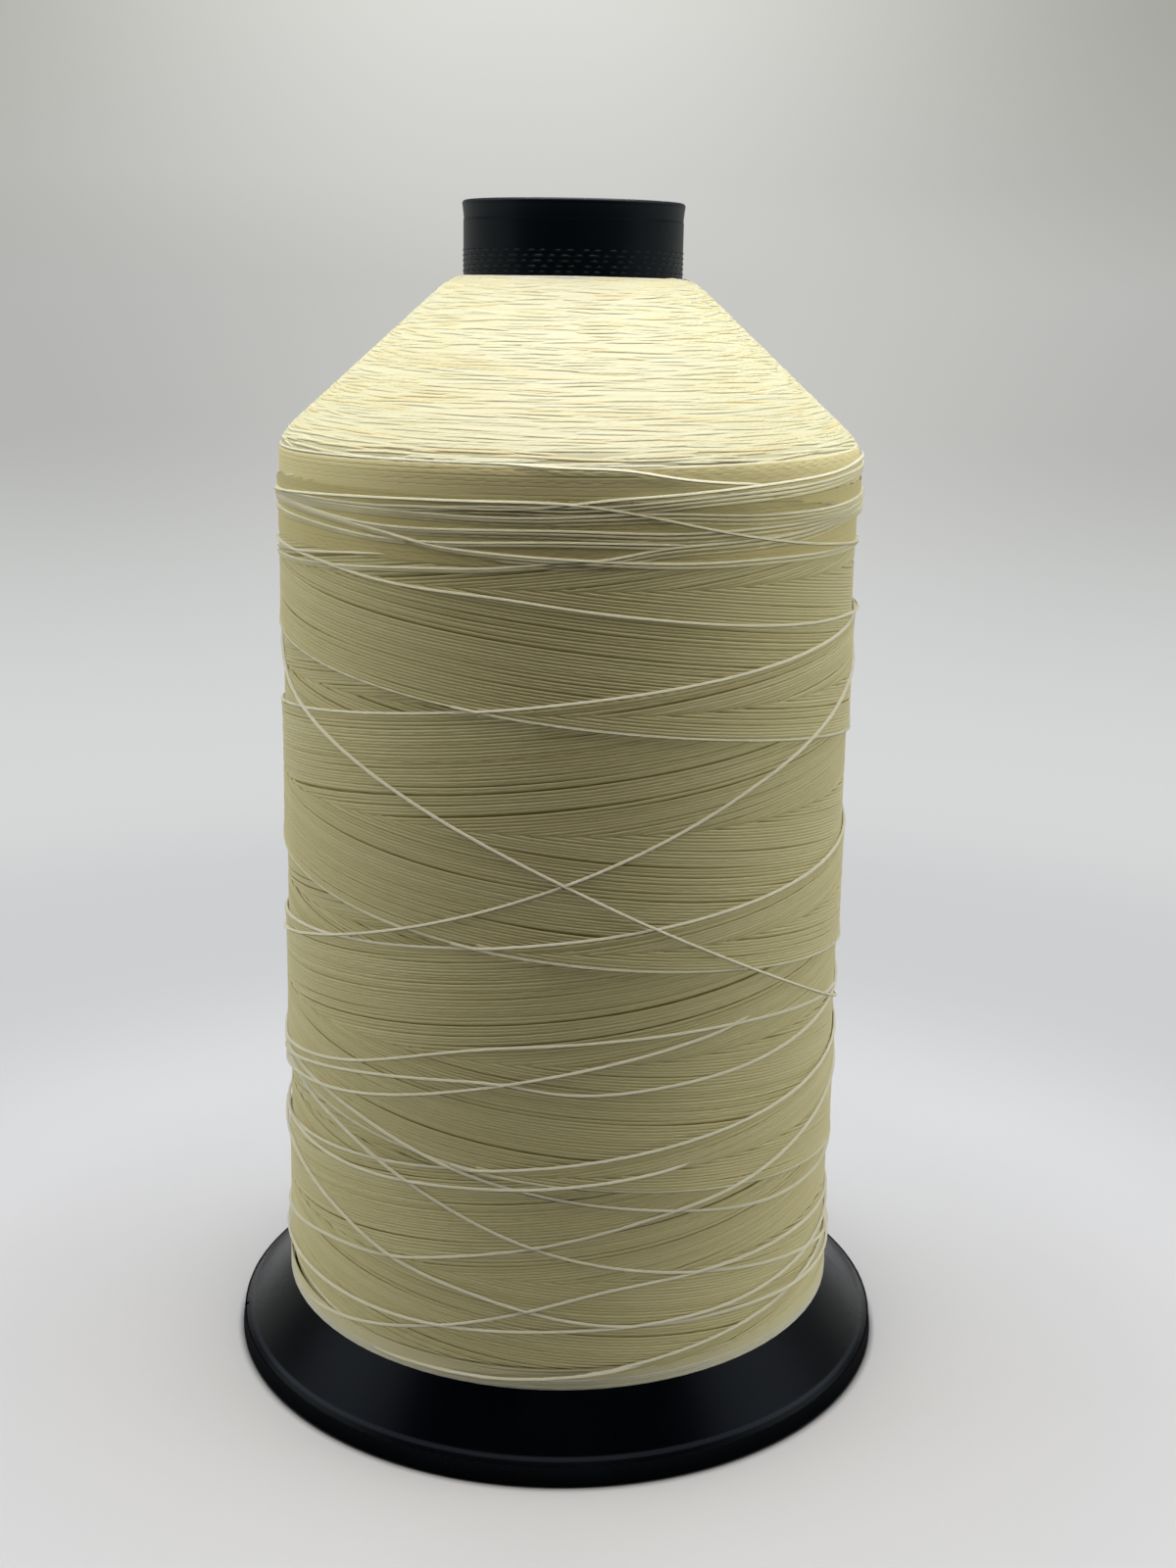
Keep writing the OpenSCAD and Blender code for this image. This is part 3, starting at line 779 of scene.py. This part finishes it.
def thread_material(name, base, deep, pale, roughness, ply, softness, groove_shade):
    """Bonded nylon thread: drawn filaments, twisted in three plies and waxed, which gives a
    soft sheen. The plies show as slanting ridges, sin(2 pi (3 v + x / pitch)) over the share
    v of a turn round the thread and the length x along it, with a deeper colour between them as
    painted shade; ply is their strength, in relief and in painted shade. Each turn has its own
    tint, and is painted deeper where it meets the next one, by the groove shade, as painted shade
    between the turns. A tint past the base range mixes to the paler colour, which is painted light.
    Light spreads inside the thread, so the normal is taken part of the way, softness, to the way
    that the turn's top faces."""
    material, output = new_material(name)
    tree = material.node_tree
    lay = add_node(tree, "UVMap", {"uv_map": "thread_lay"})
    split = add_node(tree, "SeparateXYZ", links={"Vector": lay.outputs["UV"]})
    along = add_node(tree, "Math", MULTIPLY, {1: 2 * np.pi / PLY_PITCH}, {0: split.outputs["X"]})
    around = add_node(tree, "Math", MULTIPLY_ADD, {1: 6 * np.pi},
                      {0: split.outputs["Y"], 2: along.outputs[0]})
    wave = add_node(tree, "Math", {"operation": "SINE"}, links={0: around.outputs[0]})
    bump = add_node(tree, "Bump", values={"Strength": ply, "Distance": PLY_DEPTH * MM},
                    links={"Height": wave.outputs[0]})
    facing = add_node(tree, "Attribute", {"attribute_name": "facing"})
    soft = add_node(tree, "Mix", {"data_type": "VECTOR"}, {0: softness},
                    {4: bump.outputs[0], 5: facing.outputs["Vector"]})
    normal = add_node(tree, "VectorMath", NORMALIZE, links={0: soft.outputs[1]})
    tint = add_node(tree, "Attribute", {"attribute_name": "tint"})
    # Painted shade: the colour is deeper in the ply grooves.
    plies = add_node(tree, "Math", MULTIPLY_ADD, {1: 3 * ply},
                     {0: wave.outputs[0], 2: tint.outputs["Fac"]})
    # Painted shade: the colour is deeper round the sides of a turn, where it meets the next.
    section = add_node(tree, "Math", MULTIPLY, {1: 2 * np.pi}, {0: split.outputs["Y"]})
    crest = add_node(tree, "Math", {"operation": "COSINE"}, links={0: section.outputs[0]})
    groove_shaded = add_node(tree, "Math", MULTIPLY_ADD, {1: groove_shade},
                       {0: crest.outputs[0], 2: plies.outputs[0]})
    share = add_node(tree, "MapRange",
                     values={"From Min": -TINT_RANGE - groove_shade, "From Max": TINT_RANGE},
                     links={"Value": groove_shaded.outputs[0]})
    body = add_node(tree, "Mix", COLOUR_MIX, {6: colour(deep), 7: colour(base)}, {0: share.outputs[0]})
    # Painted light: a tint past the range mixes to the paler colour.
    paler = add_node(tree, "MapRange", values={"From Min": TINT_RANGE, "From Max": TINT_PAINTED_LIT},
                     links={"Value": tint.outputs["Fac"]})
    mix = add_node(tree, "Mix", COLOUR_MIX, {7: colour(pale)}, {0: paler.outputs[0], 6: body.outputs[2]})
    shader = add_node(tree, "BsdfPrincipled",
                      values={"Roughness": roughness, "IOR": 1.53, "Specular IOR Level": 0.2},
                      links={"Base Color": mix.outputs[2], "Normal": normal.outputs[0]})
    tree.links.new(shader.outputs[0], output.inputs["Surface"])
    return material


def bed_material():
    """The same thread seen in the gaps, with level lines two threads apart, which is as fine
    as shows: a painted olive shade between the body's turns, and paler on the shoulder. A wave
    of scale 1 repeats in 0.314 of a unit."""
    material, output = new_material("bonded_nylon_inner_turns")
    tree = material.node_tree
    repeat = 2 * THREAD_D * MM
    fade_z, faded_z = (BODY_TOP_Z + 0.6) * MM, (BODY_TOP_Z + 1.2) * MM
    place = add_node(tree, "TexCoord")
    wave = add_node(tree, "TexWave",
                    {"wave_type": "BANDS", "bands_direction": "Z", "wave_profile": "SIN"},
                    {"Scale": 0.314 / repeat, "Distortion": 0.6}, {"Vector": place.outputs["Object"]})
    # Painted shade: dark olive for the gaps between the body's turns.
    body = add_node(tree, "Mix", COLOUR_MIX, {6: colour("#83794a"), 7: colour("#968b58")},
                    {0: wave.outputs["Fac"]})
    split = add_node(tree, "SeparateXYZ", links={"Vector": place.outputs["Object"]})
    high = add_node(tree, "MapRange", values={"From Min": fade_z, "From Max": faded_z},
                    links={"Value": split.outputs["Z"]})
    cone = add_node(tree, "Mix", COLOUR_MIX, {6: colour("#cbc8a6"), 7: colour("#d0ceb0")},
                    {0: wave.outputs["Fac"]})
    mix = add_node(tree, "Mix", COLOUR_MIX,
                   links={0: high.outputs[0], 6: body.outputs[2], 7: cone.outputs[2]})
    shader = add_node(tree, "BsdfPrincipled", values={"Roughness": 0.6},
                      links={"Base Color": mix.outputs[2]})
    tree.links.new(shader.outputs[0], output.inputs["Surface"])
    return material


# Height of a thin painted highlight along the edge of the foot's rim and of the tube's rim
FOOT_HIGHLIGHT_Z = 3.7
TUBE_HIGHLIGHT_Z = 177.9


def plastic_material(name, base, worn, roughness, highlight_z):
    """Injection-moulded polystyrene: near black with a satin skin. Fine grain breaks up the
    reflection, and handling has left faint scuffs that are a little lighter and rougher. A thin
    grey line along the edge at the height given last is a painted highlight, where the edge would
    catch the light."""
    material, output = new_material(name)
    tree = material.node_tree
    grain_size, cloud_size, grain_depth = 0.5 * MM, 14 * MM, 0.02 * MM
    highlight_half, highlight_end = 0.1 * MM, 0.35 * MM
    place = add_node(tree, "TexCoord")
    grain = add_node(tree, "TexNoise", values={"Scale": 1 / grain_size, "Detail": 3.0},
                     links={"Vector": place.outputs["Object"]})
    cloud = add_node(tree, "TexNoise", values={"Scale": 1 / cloud_size, "Detail": 5.0},
                     links={"Vector": place.outputs["Object"]})
    scuff = add_node(tree, "MapRange", values={"From Min": 0.5, "From Max": 0.8},
                     links={"Value": cloud.outputs["Fac"]})
    mix = add_node(tree, "Mix", COLOUR_MIX, {6: colour(base), 7: colour(worn)}, {0: scuff.outputs[0]})
    split = add_node(tree, "SeparateXYZ", links={"Vector": place.outputs["Object"]})
    off = add_node(tree, "Math", {"operation": "SUBTRACT"}, {1: highlight_z * MM}, {0: split.outputs["Z"]})
    near = add_node(tree, "Math", ABSOLUTE, links={0: off.outputs[0]})
    line = add_node(tree, "MapRange", SMOOTHSTEP, {"From Min": highlight_half, "From Max": highlight_end},
                    {"Value": near.outputs[0]})
    # Painted highlight: a thin grey line along the rim's edge.
    skin = add_node(tree, "Mix", COLOUR_MIX, {6: colour("#20242c")},
                    {0: line.outputs[0], 7: mix.outputs[2]})
    rough = add_node(tree, "MapRange", values={"To Min": roughness - 0.06, "To Max": roughness + 0.1},
                     links={"Value": cloud.outputs["Fac"]})
    bump = add_node(tree, "Bump", values={"Strength": 0.15, "Distance": grain_depth},
                    links={"Height": grain.outputs["Fac"]})
    shader = add_node(
        tree, "BsdfPrincipled",
        values={"IOR": 1.5, "Specular IOR Level": 0.19, "Specular Tint": (0.82, 0.92, 1, 1)},
        links={"Base Color": skin.outputs[2], "Roughness": rough.outputs[0], "Normal": bump.outputs[0]})
    tree.links.new(shader.outputs[0], output.inputs["Surface"])
    return material


# ---------------------------------------------------------------- camera, lights and floor
# The camera stands in front of the spool and looks down on it: its place in metres, its
# turn, fall and roll in radians, and its lens and the width of its film in millimetres
CAMERA_PLACE = (0.009529, -0.292427, 0.166477)
CAMERA_TURN = (-0.02035, 0.25437, -0.01817)
CAMERA_LENS = 44.127
CAMERA_FILM = 36


def make_camera():
    """The camera: its axes are worked out from its turn, its fall and its roll."""
    yaw, pitch, roll = CAMERA_TURN
    forward = np.array([np.sin(yaw) * np.cos(pitch), np.cos(yaw) * np.cos(pitch), -np.sin(pitch)])
    rise = np.array([np.sin(yaw) * np.sin(pitch), np.cos(yaw) * np.sin(pitch), np.cos(pitch)])
    level = np.array([np.cos(yaw), -np.sin(yaw), 0])
    right = np.cos(roll) * level - np.sin(roll) * rise
    up = np.sin(roll) * level + np.cos(roll) * rise
    data = bpy.data.cameras.new("camera")
    data.lens = CAMERA_LENS
    data.sensor_width = CAMERA_FILM
    data.clip_start = 0.01
    data.clip_end = 50
    camera = bpy.data.objects.new("camera", data)
    place = np.eye(4)
    place[:3, 0], place[:3, 1], place[:3, 2] = right, up, -forward
    place[:3, 3] = CAMERA_PLACE
    camera.matrix_world = Matrix(place.tolist())
    bpy.context.scene.collection.objects.link(camera)
    bpy.context.scene.camera = camera


def softbox(name, place, aim, size, power, tone, shines):
    """A rectangular lamp at a place in metres that faces a point. The camera doesn't see
    it, and reflections only where it shines."""
    data = bpy.data.lights.new(name, "AREA")
    data.shape = "RECTANGLE"
    data.size, data.size_y = size
    data.energy = power
    data.color = colour(tone)[:3]
    lamp = bpy.data.objects.new(name, data)
    bpy.context.scene.collection.objects.link(lamp)
    to = unit(np.array(aim, float) - np.array(place, float))
    side = unit(np.cross(to, [0, 1, 0] if abs(to[2]) > 0.9 else [0, 0, 1]))
    turn = np.eye(4)
    turn[:3, 0], turn[:3, 1], turn[:3, 2] = side, np.cross(side, to), -to
    turn[:3, 3] = place
    lamp.matrix_world = Matrix(turn.tolist())
    lamp.visible_camera = False
    lamp.visible_glossy = shines


# The floor: its lit board beside the spool and further off, the board a little paler beside
# the foot as painted light, its painted shadow in the crease under the rim, the even tone past
# the board, the tone where it sweeps up, and the board and the dark past it that send light back
FLOOR_BOARD = ("#dfe1e9", "#d6d8e0")
FLOOR_PAINTED_SHADOW = "#38393c"
FLOOR_NEAR = "#cdcfd0"
FLOOR_SWEEP = "#d6d8d8"
FLOOR_BOUNCE = ("#c8c8c6", "#303030")
# The distances from the spool's axis, in metres, over which those change
BOARD_CHANGE = (0.055, 0.1)
BOARD_FADE = (0.1, 0.2)
BOUNCE_FADE = (0.08, 0.25)
NEAR_TO_SWEEP = (0.24, 0.36)
SWEEP_TO_BACKDROP = (0.36, 2.3)
# The painted shadow in the crease begins here, and ends at the first where it is seen and at
# the second where the foot reflects it
PAINTED_SHADOW_FROM = 0.0515
PAINTED_SHADOW_TO = (0.0534, 0.08)
# The backdrop low down and high up, each over the spool and to the side
BACKDROP_LOW = ("#c8c8c5", "#b4b5b2")
BACKDROP_HIGH = ("#dbdcd7", "#a3a49c")
# The dark overhead, the white panels high up on either side, and the weak even light
OVERHEAD = "#3c3d3e"
PANEL = "#f4f7fc"
AMBIENT = 0.01


def seen_directly(tree):
    """1 for a ray that the camera, a reflection or clear material sends, else 0."""
    path = add_node(tree, "LightPath")
    most = add_node(tree, "Math", MAXIMUM,
                    links={0: path.outputs["Is Camera Ray"], 1: path.outputs["Is Glossy Ray"]})
    return add_node(tree, "Math", MAXIMUM, links={
        0: most.outputs[0], 1: path.outputs["Is Transmission Ray"]}).outputs[0]


def backdrop_tone(tree, direction):
    """Colour of the backdrop in a direction: palest over the spool, more to the left of it
    higher up, and darker to both sides."""
    split = add_node(tree, "SeparateXYZ", links={"Vector": direction})
    height = add_node(tree, "MapRange", values={"From Max": 0.126},
                      links={"Value": split.outputs["Z"]})
    middle = add_node(tree, "Mix", COLOUR_MIX, {6: colour(BACKDROP_LOW[0]), 7: colour(BACKDROP_HIGH[0])},
                      {0: height.outputs[0]})
    side = add_node(tree, "Mix", COLOUR_MIX, {6: colour(BACKDROP_LOW[1]), 7: colour(BACKDROP_HIGH[1])},
                    {0: height.outputs[0]})
    shift = add_node(tree, "MapRange", values={"From Max": 0.05, "To Max": 0.06},
                     links={"Value": split.outputs["Z"]})
    shifted = add_node(tree, "Math", {"operation": "ADD"},
                       links={0: split.outputs["X"], 1: shift.outputs[0]})
    away = add_node(tree, "Math", ABSOLUTE, links={0: shifted.outputs[0]})
    share = add_node(tree, "MapRange", SMOOTHSTEP, {"From Min": 0.02, "From Max": 0.36},
                     {"Value": away.outputs[0]})
    return add_node(tree, "Mix", COLOUR_MIX, links={
        0: share.outputs[0], 6: middle.outputs[2], 7: side.outputs[2]}).outputs[2]


def board_material():
    """The pale board of the floor. Near the spool it is lit, and painted a little paler beside the
    foot as painted light; further off it fades to an even tone that meets the backdrop, by the
    logarithm of the distance. A painted shadow darkens it in the crease under the foot's rim,
    over a wider ring where the foot reflects it. The light that it sends back comes only from the
    board near the spool."""
    material, output = new_material("pale_board")
    tree = material.node_tree
    place = add_node(tree, "TexCoord")
    far = add_node(tree, "VectorMath", {"operation": "LENGTH"}, links={0: place.outputs["Object"]})
    way = add_node(tree, "VectorMath", NORMALIZE, links={0: place.outputs["Object"]})
    power = add_node(tree, "Math", {"operation": "LOGARITHM"}, {1: 10.0}, {0: far.outputs["Value"]})
    start, end = np.log10(NEAR_TO_SWEEP)
    rise = add_node(tree, "MapRange", SMOOTHSTEP, {"From Min": start, "From Max": end},
                    {"Value": power.outputs[0]})
    even = add_node(tree, "Mix", COLOUR_MIX, {6: colour(FLOOR_NEAR), 7: colour(FLOOR_SWEEP)},
                    {0: rise.outputs[0]})
    start, end = np.log10(SWEEP_TO_BACKDROP)
    sweep = add_node(tree, "MapRange", SMOOTHSTEP, {"From Min": start, "From Max": end},
                     {"Value": power.outputs[0]})
    tone = add_node(
        tree, "Mix", COLOUR_MIX,
        links={0: sweep.outputs[0], 6: even.outputs[2], 7: backdrop_tone(tree, way.outputs["Vector"])})
    glow = add_node(tree, "Emission", links={"Color": tone.outputs[2]})
    around = add_node(tree, "MapRange", SMOOTHSTEP,
                      {"From Min": BOARD_CHANGE[0], "From Max": BOARD_CHANGE[1]},
                      {"Value": far.outputs["Value"]})
    # Painted light: the board is paler right beside the foot than further off.
    board = add_node(tree, "Mix", COLOUR_MIX, {6: colour(FLOOR_BOARD[0]), 7: colour(FLOOR_BOARD[1])},
                     {0: around.outputs[0]})
    path = add_node(tree, "LightPath")
    # Painted shadow: the board darkens towards the foot's rim, over a wider ring for reflections.
    crease = add_node(tree, "MapRange", values={"To Min": PAINTED_SHADOW_TO[0], "To Max": PAINTED_SHADOW_TO[1]},
                      links={"Value": path.outputs["Is Glossy Ray"]})
    painted_shadow = add_node(tree, "MapRange", SMOOTHSTEP, {"From Min": PAINTED_SHADOW_FROM},
                       {"Value": far.outputs["Value"], "From Max": crease.outputs[0]})
    shadowed_board = add_node(tree, "Mix", COLOUR_MIX, {6: colour(FLOOR_PAINTED_SHADOW)},
                      {0: painted_shadow.outputs[0], 7: board.outputs[2]})
    lit = add_node(tree, "BsdfDiffuse", links={"Color": shadowed_board.outputs[2]})
    fade = add_node(tree, "MapRange", SMOOTHSTEP,
                    {"From Min": BOARD_FADE[0], "From Max": BOARD_FADE[1]},
                    {"Value": far.outputs["Value"]})
    seen = add_node(tree, "MixShader",
                    links={0: fade.outputs[0], 1: lit.outputs[0], 2: glow.outputs[0]})
    near = add_node(tree, "MapRange", SMOOTHSTEP,
                    {"From Min": BOUNCE_FADE[0], "From Max": BOUNCE_FADE[1]},
                    {"Value": far.outputs["Value"]})
    shade = add_node(tree, "Mix", COLOUR_MIX, {6: colour(FLOOR_BOUNCE[0]), 7: colour(FLOOR_BOUNCE[1])},
                     {0: near.outputs[0]})
    dim = add_node(tree, "BsdfDiffuse", links={"Color": shade.outputs[2]})
    choose = add_node(tree, "MixShader",
                      links={0: seen_directly(tree), 1: dim.outputs[0], 2: seen.outputs[0]})
    tree.links.new(choose.outputs[0], output.inputs["Surface"])
    return material


def flag_material():
    """Black studio cloth, which sends next to nothing back."""
    material, output = new_material("black_flag")
    dark = add_node(material.node_tree, "BsdfDiffuse", values={"Color": colour("#141414")})
    material.node_tree.links.new(dark.outputs[0], output.inputs["Surface"])
    return material


def stage_sheet(name, corners, material):
    """A flat sheet of the studio, with four corners in metres."""
    mesh = bpy.data.meshes.new(name)
    mesh.from_pydata(corners, [], [(0, 1, 2, 3)])
    mesh.materials.append(material)
    sheet = bpy.data.objects.new(name, mesh)
    bpy.context.scene.collection.objects.link(sheet)
    return sheet


def make_floor():
    """A plain pale floor, a tenth of a millimetre under the foot's rim."""
    half, z = 12.0, -0.1 * MM
    corners = [(-half, -half, z), (half, -half, z), (half, half, z), (-half, half, z)]
    stage_sheet("floor", corners, board_material())


def make_flag():
    """A black flag behind the camera: the front of the spool faces the dark of the studio.
    The camera doesn't see the flag itself."""
    near, wide, high = -0.42, 0.75, 1.1
    corners = [(-wide, near, 0), (wide, near, 0), (wide, near, high), (-wide, near, high)]
    stage_sheet("flag", corners, flag_material()).visible_camera = False


def make_world():
    """Soft studio air: a pale backdrop where it is seen, dark overhead, a white panel high
    up on either side, and a weak even light."""
    world = bpy.data.worlds.new("studio")
    bpy.context.scene.world = world
    world.use_nodes = True
    tree = world.node_tree
    tree.nodes.clear()
    output = add_node(tree, "OutputWorld")
    place = add_node(tree, "TexCoord")
    split = add_node(tree, "SeparateXYZ", links={"Vector": place.outputs["Generated"]})
    overhead = add_node(tree, "MapRange", SMOOTHSTEP, {"From Min": 0.14, "From Max": 0.34},
                        {"Value": split.outputs["Z"]})
    mix = add_node(tree, "Mix", COLOUR_MIX, {7: colour(OVERHEAD)},
                   {0: overhead.outputs[0], 6: backdrop_tone(tree, place.outputs["Generated"])})
    aside = add_node(tree, "Math", ABSOLUTE, links={0: split.outputs["X"]})
    beside = add_node(tree, "MapRange", SMOOTHSTEP, {"From Min": 0.6, "From Max": 0.8},
                      {"Value": aside.outputs[0]})
    above = add_node(tree, "MapRange", SMOOTHSTEP, {"From Min": 0.34, "From Max": 0.5},
                     {"Value": split.outputs["Z"]})
    panel = add_node(tree, "Math", MULTIPLY, links={0: beside.outputs[0], 1: above.outputs[0]})
    sides = add_node(tree, "Mix", COLOUR_MIX, {7: colour(PANEL)},
                     {0: panel.outputs[0], 6: mix.outputs[2]})
    shown = add_node(tree, "Background", links={"Color": sides.outputs[2]})
    light = add_node(tree, "Background", values={"Color": colour("#ffffff"), "Strength": AMBIENT})
    choose = add_node(tree, "MixShader",
                      links={0: seen_directly(tree), 1: light.outputs[0], 2: shown.outputs[0]})
    tree.links.new(choose.outputs[0], output.inputs["Surface"])


# Each lamp: its place, the point it faces, its size, its power in watts, its colour, and
# whether it shows in reflections
SOFTBOXES = {
    "top_softbox": ((0, 0.03, 0.42), (0, 0.03, 0), (0.26, 0.21), 1.46, "#ffffff", True),
    "high_softbox": ((0, -0.15, 0.44), (0, -0.04, 0.09), (0.5, 0.14), 0.61, "#fff4e0", False),
    "left_softbox": ((-0.6, 0.05, 0.15), (0, 0, 0.09), (0.5, 0.5), 2.25, "#fffff0", False),
    "right_softbox": ((0.6, 0.05, 0.15), (0, 0, 0.09), (0.5, 0.5), 2.45, "#fffff0", False),
    "front_fill": ((0, -0.4, 0.2), (0, 0, 0.09), (0.7, 0.3), 0.02, "#ffd9a0", False),
}


def dress_node(name, material):
    """Gives a node of the part its finish."""
    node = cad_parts[name]
    node.data.materials.clear()
    node.data.materials.append(material)


def wind_thread():
    """All the pieces of the wound thread: the crosswound turns of the body, the turns on the
    shoulder, the level turns at the edges, the loose turns, and the bed under them all. Each
    row of level turns is given by its place, its heights or lengths up the shoulder, how far
    it wanders, its tint, its section and how far it leans."""
    thread = {name: thread_material(name, *look) for name, look in THREADS.items()}
    newest = []
    for direction, word in ((1, "rising"), (-1, "falling")):
        lay = strand_lay()
        older = np.arange(1, STRANDS)
        groups = crosswound_groups(direction, lay, older, BODY_SECTION, 0.0, 0.0)
        wound_piece(f"{word}_turns", groups, thread["bonded_nylon_thread"])
        # The newest turns' tint is raised towards the paler colour: painted light.
        newest += crosswound_groups(direction, lay, np.arange(1), LOOSE_SECTION, LOOSE_LEAN, 4.0)
    wound_piece("newest_turns", newest, thread["bonded_nylon_loose"])
    wound_piece("shoulder_turns", shoulder_groups(), thread["bonded_nylon_shoulder"])

    turned_back = level_groups(edge_place(0.72), np.arange(-2.5, 1.5, 0.28), 0.02, 0.5, LEVEL_SECTION)
    lowest = level_groups(foot_place, np.arange(11.2, 13.8, 0.42), 0.08, 0.5, BODY_SECTION)
    wound_piece("reversal_turns", turned_back, thread["bonded_nylon_reversal"])
    under_bundle = level_groups(bundle_bed, np.arange(130.6, 139.4, 0.27), 0.12, 0.5, LEVEL_SECTION)
    wound_piece("level_turns", under_bundle, thread["bonded_nylon_level"])
    under_cone = level_groups(
        edge_place(0.5), np.arange(1.5, 5.2, 0.3), 0.08, 1.5, LEVEL_SECTION, raised=LIT_RAISE)
    wound_piece("under_turns", under_cone, thread["bonded_nylon_shoulder"])
    # Tints over 3 mix towards the paler colour: painted light on the turns that stand proud.
    on_edge = level_groups(edge_place(0.58), (1.5, 1.8), 0.12, 4.0, LOOSE_SECTION, EDGE_LEAN)
    head = level_groups(head_place, np.arange(-0.2, 1.8, 0.4), 0.2, 6.0, LOOSE_SECTION)
    foot = level_groups(
        foot_place, np.arange(10.9, 12.4, 0.3), 0.1, 3.0, LOOSE_SECTION, BESIDE_LEAN)
    wound_piece("edge_turns", head + foot, thread["bonded_nylon_edge"])

    over_front = [loose_group(knots, level, 5.0, LOOSE_LEAN) for knots, level in LOOSE]
    wound_piece("loose_turns", over_front + on_edge, thread["bonded_nylon_loose"])
    topmost, beside = bundle_groups()
    wound_piece("loose_bundle", topmost, thread["bonded_nylon_loose"])
    wound_piece("banded_turns", beside + lowest, thread["bonded_nylon_band"])
    inner_turns(bed_material())


def main():
    """The studio, then the foot, the tube and the wound thread."""
    make_camera()
    bpy.context.scene.view_settings.view_transform = "Standard"
    make_world()
    make_floor()
    make_flag()
    for name, values in SOFTBOXES.items():
        softbox(name, *values)

    foot_black = plastic_material(
        "moulded_polystyrene_foot", "#020307", "#03050a", 0.25, FOOT_HIGHLIGHT_Z)
    tube_black = plastic_material(
        "moulded_polystyrene_tube", "#050b11", "#080f16", 0.36, TUBE_HIGHLIGHT_Z)
    dress_node("base_flange", foot_black)
    tube_piece(tube_black)
    wind_thread()


main()
